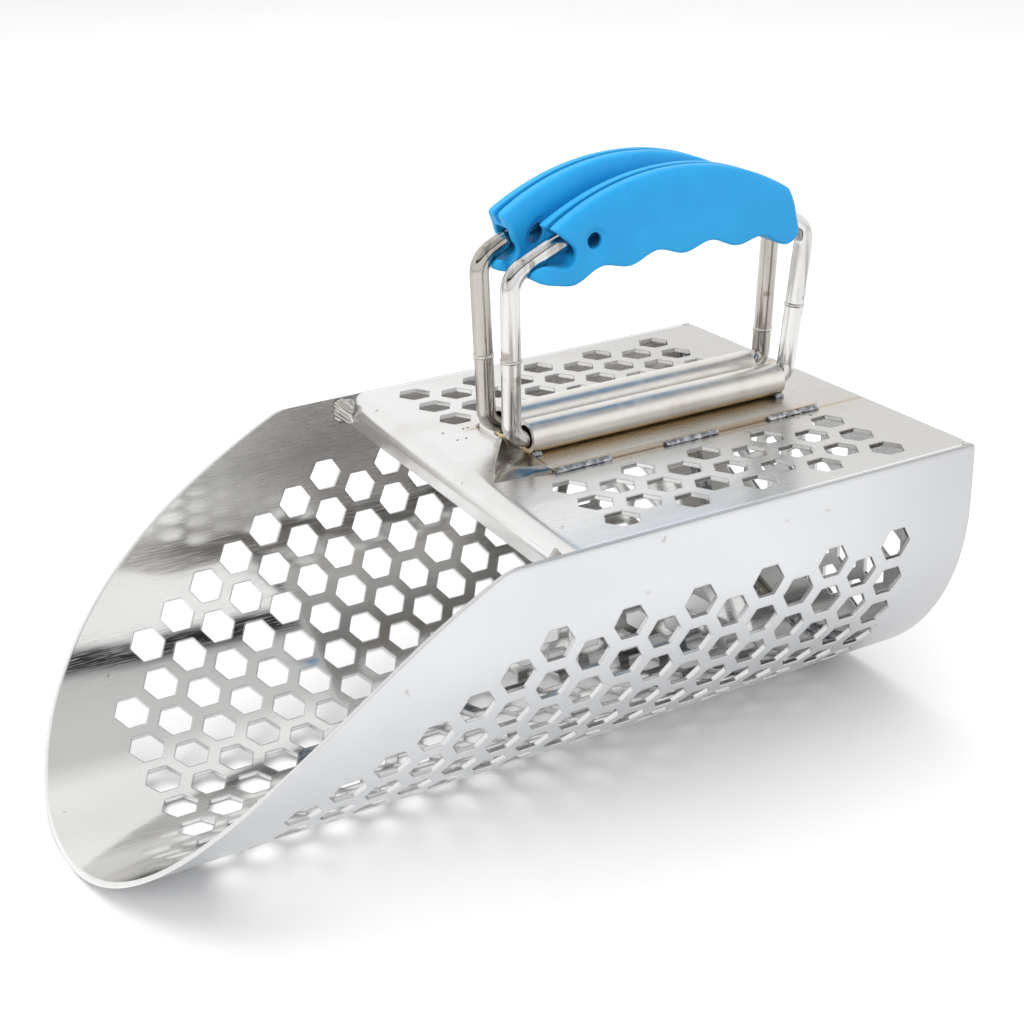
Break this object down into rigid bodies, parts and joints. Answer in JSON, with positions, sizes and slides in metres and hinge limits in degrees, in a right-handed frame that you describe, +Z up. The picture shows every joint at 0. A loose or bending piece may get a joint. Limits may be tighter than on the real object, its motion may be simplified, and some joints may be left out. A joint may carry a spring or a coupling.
{
  "type": "beach sand scoop",
  "caption": "Hand scoop for sifting beach sand: a perforated stainless trough with a slanted mouth, a flat cover, and folding bails with finger-grooved silicone grips.",
  "frame": {"origin": "middle of the length and the width, on the surface that the scoop stands on", "axes": "+X toward the flat rear plate, with the mouth toward -X; +Z up, with the grips on top; +Y toward the right-hand bail, where left and right are as seen from behind the rear plate, looking out over the mouth"},
  "size_m": [0.274, 0.151, 0.1801],
  "materials": {
    "sheet_steel": "bright satin stainless sheet, polished inside",
    "tube_steel": "polished stainless tube",
    "rod_steel": "polished stainless rod",
    "weld_metal": "ground and heat-tinted weld",
    "grip_silicone": "matte silicone"
  },
  "bodies": {
    "scoop": {"trough_shell": "sheet_steel", "cover_plate": "sheet_steel", "rear_plate": "sheet_steel", "saddle_plate": "sheet_steel", "hinge_tube_left": "tube_steel", "hinge_tube_right": "tube_steel", "saddle_stitch_welds_left": "weld_metal", "saddle_stitch_welds_right": "weld_metal", "saddle_corner_weld": "weld_metal", "tube_end_welds": "weld_metal", "cover_seam_weld_left": "weld_metal", "cover_seam_weld_right": "weld_metal", "rear_seam_weld": "weld_metal", "mouth_corner_welds": "weld_metal", "rear_corner_welds": "weld_metal"},
    "bail_left": {"bail_left_lower": "rod_steel", "bail_left_upper": "rod_steel", "bail_left_butt_welds": "weld_metal", "grip_left": "grip_silicone"},
    "bail_right": {"bail_right_lower": "rod_steel", "bail_right_upper": "rod_steel", "bail_right_butt_welds": "weld_metal", "grip_right": "grip_silicone"}
  },
  "joints": [
    {"name": "left_bail_fold", "type": "hinge", "parent": "scoop", "child": "bail_left", "pos_m": [0.0675, -0.0077, 0.10105], "axis": [1, 0, 0], "range_deg": [-1.2, 90]},
    {"name": "right_bail_fold", "type": "hinge", "parent": "scoop", "child": "bail_right", "pos_m": [0.0651, 0.0077, 0.10105], "axis": [-1, 0, 0], "range_deg": [-1.2, 90]}
  ]
}
